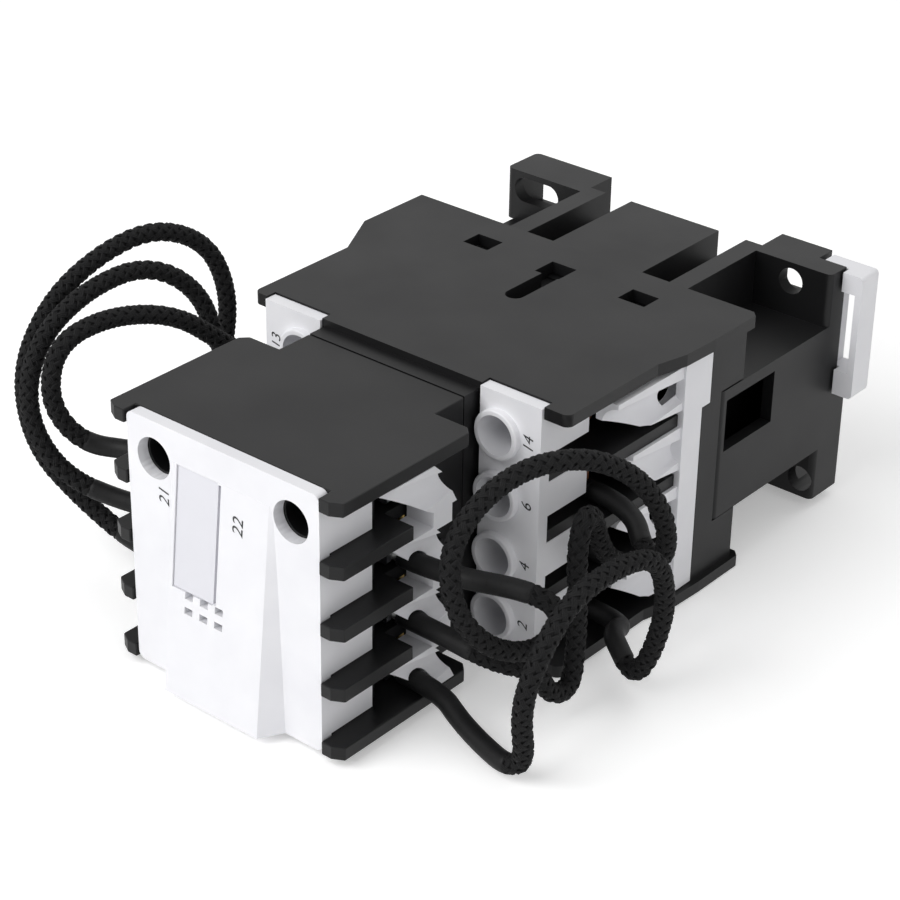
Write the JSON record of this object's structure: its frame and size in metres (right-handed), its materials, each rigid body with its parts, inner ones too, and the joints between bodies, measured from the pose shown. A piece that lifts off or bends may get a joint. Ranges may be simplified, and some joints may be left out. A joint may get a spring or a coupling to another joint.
{
  "type": "capacitor switching contactor",
  "caption": "Four-pole contactor lying on its side, with a front contact block, looped damping leads, screw terminals and a rail latch.",
  "frame": {"origin": "centre of the rail channel in the rear mounting plane", "axes": "+X toward the load terminals, +Y out of the rear mounting face, -Y toward the front, +Z across the poles, up as the device lies in the picture"},
  "size_m": [0.1079, 0.1181, 0.0479],
  "materials": {
    "black_moulding": "black glass-filled nylon, fine moulded grain",
    "white_moulding": "white nylon, satin",
    "label_insert": "white label insert",
    "dark_carrier": "dark thermoset moulding",
    "laminated_steel": "stack of electrical steel sheets",
    "zinc_plated_steel": "zinc-plated steel",
    "copper": "copper with silver tips",
    "brass": "brass strip",
    "enamelled_wire": "enamelled copper winding",
    "rubber_buffer": "rubber",
    "spring_steel": "spring steel",
    "tinned_copper": "tinned copper ferrule",
    "braided_sleeving": "black braided sleeving"
  },
  "bodies": {
    "housing": {"base_housing": "black_moulding", "latch_spring": "spring_steel", "core_buffers": "rubber_buffer", "fixed_core": "laminated_steel", "shading_rings": "copper", "coil_bobbin": "dark_carrier", "coil_winding": "enamelled_wire", "coil_terminals": "brass", "coil_screws": "zinc_plated_steel", "return_springs": "spring_steel", "contact_housing": "black_moulding", "load_contacts": "copper", "load_screws": "zinc_plated_steel", "load_clamps": "zinc_plated_steel", "supply_contacts": "copper", "supply_screws": "zinc_plated_steel", "supply_clamps": "zinc_plated_steel", "load_strip": "white_moulding", "supply_strip": "white_moulding", "load_guide": "white_moulding", "supply_guide": "white_moulding", "block_body": "black_moulding", "block_cover": "white_moulding", "label_plate": "label_insert", "block_load_contacts": "brass", "block_load_screws": "zinc_plated_steel", "block_load_clamps": "zinc_plated_steel", "block_supply_contacts": "brass", "block_supply_screws": "zinc_plated_steel", "block_supply_clamps": "zinc_plated_steel", "block_load_guide": "white_moulding", "block_supply_guide": "white_moulding", "lead_ferrules": "tinned_copper", "load_lead_1": "braided_sleeving", "load_lead_2": "braided_sleeving", "load_lead_3": "braided_sleeving", "supply_lead_1": "braided_sleeving", "supply_lead_2": "braided_sleeving", "supply_lead_3": "braided_sleeving"},
    "carrier": {"contact_carrier": "dark_carrier", "armature": "laminated_steel", "armature_pin": "zinc_plated_steel", "contact_bridges": "copper", "bridge_springs": "spring_steel"},
    "block_follower": {"block_slide": "dark_carrier", "block_bridges": "brass", "block_springs": "spring_steel"},
    "latch": {"rail_latch": "white_moulding"}
  },
  "joints": [
    {"name": "carrier_slide", "type": "slide", "parent": "housing", "child": "carrier", "axis": [0, 1, 0], "range_m": [0, 0.0045], "stiffness_N_per_m": 400, "springref_m": -0.004, "deforming": ["return_springs"]},
    {"name": "block_slide", "type": "slide", "parent": "housing", "child": "block_follower", "axis": [0, 1, 0], "range_m": [0, 0.0045]},
    {"name": "latch_slide", "type": "slide", "parent": "housing", "child": "latch", "axis": [1, 0, 0], "range_m": [0, 0.0035], "stiffness_N_per_m": 300, "springref_m": -0.004, "deforming": ["latch_spring"]}
  ],
  "couplings": [
    {"joint": "block_slide", "follows": "carrier_slide", "ratio": 1}
  ]
}
